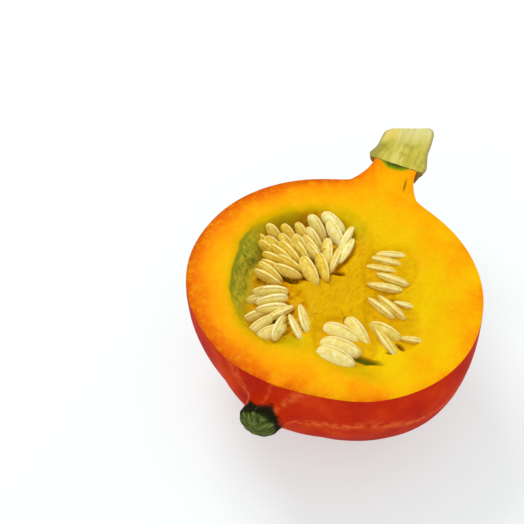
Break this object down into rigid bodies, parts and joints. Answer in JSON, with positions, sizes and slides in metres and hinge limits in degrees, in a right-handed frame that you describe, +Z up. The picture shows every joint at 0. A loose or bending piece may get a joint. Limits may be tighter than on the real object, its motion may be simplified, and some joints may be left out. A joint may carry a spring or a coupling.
{
  "type": "halved orange winter squash",
  "caption": "Half of a small orange-red winter squash cut lengthwise, with its stem, button and seeds, lying on its rind with the cut face up.",
  "frame": {"origin": "on the surface that the half lies on, under the middle of its bounding box", "axes": "+Y along the fruit towards the stem, +Z up out of the cut face, +X across the fruit"},
  "size_m": [0.1384, 0.175, 0.0776],
  "materials": {
    "flesh_and_rind": "moist yellow-orange flesh with a smooth, slightly glossy orange-red rind",
    "stem": "dull corky yellow-green",
    "seeds": "wet satin cream"
  },
  "bodies": {
    "root": {"fruit_half": "flesh_and_rind", "stem_half": "stem", "seed_bunch_far_left": "seeds", "seed_bunch_near_left": "seeds", "seed_bunch_near_right": "seeds", "seed_bunch_right": "seeds", "seed_bunch_far_right": "seeds"}
  },
  "joints": []
}
